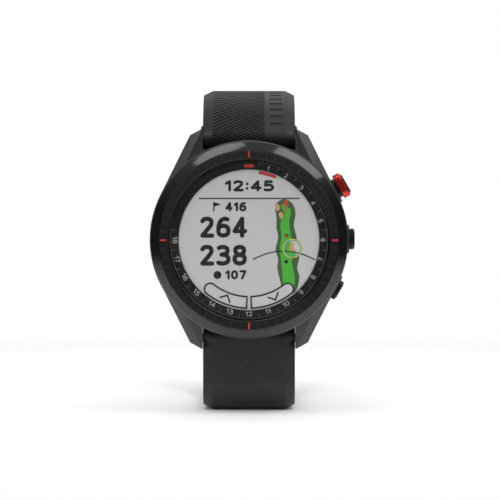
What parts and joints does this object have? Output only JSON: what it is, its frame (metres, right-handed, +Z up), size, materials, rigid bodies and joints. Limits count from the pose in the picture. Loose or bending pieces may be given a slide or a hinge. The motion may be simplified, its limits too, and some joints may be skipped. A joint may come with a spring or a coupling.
{
  "type": "golf gps watch",
  "caption": "Golf GPS watch with a round dial, side buttons and an unbuckled silicone strap, standing on its lower strap.",
  "frame": {"origin": "middle of the flat stretch of the lower strap's outer face, which the watch stands on", "axes": "+X towards the buttons at 3 o'clock, +Y from the dial towards the wrist, +Z up, towards 12 o'clock"},
  "size_m": [0.0486, 0.0819, 0.0768],
  "materials": {
    "case_polymer": "matte",
    "ceramic_bezel": "polished",
    "lens_glass": "gloss",
    "black_rubber": "matte",
    "dial_print": "matte",
    "display_glass": "satin",
    "white_plastic": "matte",
    "black_plastic": "satin",
    "polyimide_flex": "satin",
    "circuit_board": "satin",
    "tinned_steel": "satin",
    "antenna_ceramic": "matte",
    "battery_foil": "satin",
    "stainless_steel": "satin",
    "dark_steel": "satin",
    "sensor_glass": "gloss",
    "led_resin": "gloss",
    "gold_contact": "polished",
    "red_aluminium": "satin",
    "black_aluminium": "satin",
    "strap_silicone": "matte"
  },
  "bodies": {
    "watch_head": {"case_body": "case_polymer", "bezel": "ceramic_bezel", "lens": "lens_glass", "lens_gasket": "black_rubber", "number_ring": "dial_print", "display_panel": "display_glass", "display_frame": "black_plastic", "backlight": "white_plastic", "display_flex": "polyimide_flex", "chassis": "black_plastic", "main_board": "circuit_board", "shield_cans": "tinned_steel", "gps_antenna": "antenna_ceramic", "battery": "battery_foil", "vibration_motor": "stainless_steel", "chassis_screws": "stainless_steel", "button_switches": "black_plastic", "sensor_board": "circuit_board", "sensor_leds": "led_resin", "sensor_window": "sensor_glass", "back_cover": "case_polymer", "back_gasket": "black_rubber", "back_screws": "stainless_steel", "charge_contacts": "gold_contact", "upper_lug_pin": "stainless_steel", "lower_lug_pin": "stainless_steel", "lug_screws": "dark_steel"},
    "upper_button": {"upper_button_cap": "red_aluminium", "upper_button_insert": "black_aluminium", "upper_button_stem": "black_aluminium", "upper_button_seal": "black_rubber", "upper_button_clip": "stainless_steel"},
    "middle_button": {"middle_button_cap": "black_aluminium", "middle_button_stem": "black_aluminium", "middle_button_seal": "black_rubber", "middle_button_clip": "stainless_steel"},
    "lower_button": {"lower_button_cap": "black_aluminium", "lower_button_stem": "black_aluminium", "lower_button_seal": "black_rubber", "lower_button_clip": "stainless_steel"},
    "upper_strap": {"upper_strap": "strap_silicone", "upper_strap_hook": "dark_steel", "buckle_bar": "dark_steel", "fixed_keeper": "strap_silicone"},
    "upper_latch": {"upper_latch": "black_plastic"},
    "free_keeper": {"free_keeper": "strap_silicone"},
    "buckle_frame": {"buckle_frame": "dark_steel"},
    "buckle_prong": {"buckle_prong": "dark_steel"},
    "lower_strap": {"lower_strap": "strap_silicone", "lower_strap_hook": "dark_steel"},
    "lower_latch": {"lower_latch": "black_plastic"}
  },
  "joints": [
    {"name": "upper_button_press", "type": "slide", "parent": "watch_head", "child": "upper_button", "axis": [-0.866, 0, -0.5], "range_m": [0, 0.0005], "stiffness_N_per_m": 1500},
    {"name": "middle_button_press", "type": "slide", "parent": "watch_head", "child": "middle_button", "axis": [-1, 0, 0], "range_m": [0, 0.0005], "stiffness_N_per_m": 1500},
    {"name": "lower_button_press", "type": "slide", "parent": "watch_head", "child": "lower_button", "axis": [-0.866, 0, 0.5], "range_m": [0, 0.0005], "stiffness_N_per_m": 1500},
    {"name": "upper_strap_hinge", "type": "hinge", "parent": "watch_head", "child": "upper_strap", "pos_m": [0, -0.01616, 0.0651], "axis": [1, 0, 0], "range_deg": [0, 60]},
    {"name": "lower_strap_hinge", "type": "hinge", "parent": "watch_head", "child": "lower_strap", "pos_m": [0, -0.01616, 0.0175], "axis": [-1, 0, 0], "range_deg": [0, 28]},
    {"name": "upper_latch_slide", "type": "slide", "parent": "upper_strap", "child": "upper_latch", "axis": [0, 0.6428, 0.766], "range_m": [0, 0.0014], "stiffness_N_per_m": 300},
    {"name": "lower_latch_slide", "type": "slide", "parent": "lower_strap", "child": "lower_latch", "axis": [0, 0.0349, -0.9994], "range_m": [0, 0.0014], "stiffness_N_per_m": 300},
    {"name": "free_keeper_slide", "type": "slide", "parent": "upper_strap", "child": "free_keeper", "axis": [0, 0.8192, -0.5736], "range_m": [-0.0118, 0.0008]},
    {"name": "buckle_hinge", "type": "hinge", "parent": "upper_strap", "child": "buckle_frame", "pos_m": [0, 0.03551, 0.05644], "axis": [1, 0, 0], "range_deg": [-50, 40]},
    {"name": "prong_hinge", "type": "hinge", "parent": "buckle_frame", "child": "buckle_prong", "pos_m": [0, 0.03551, 0.05644], "axis": [1, 0, 0], "range_deg": [0, 55]}
  ]
}
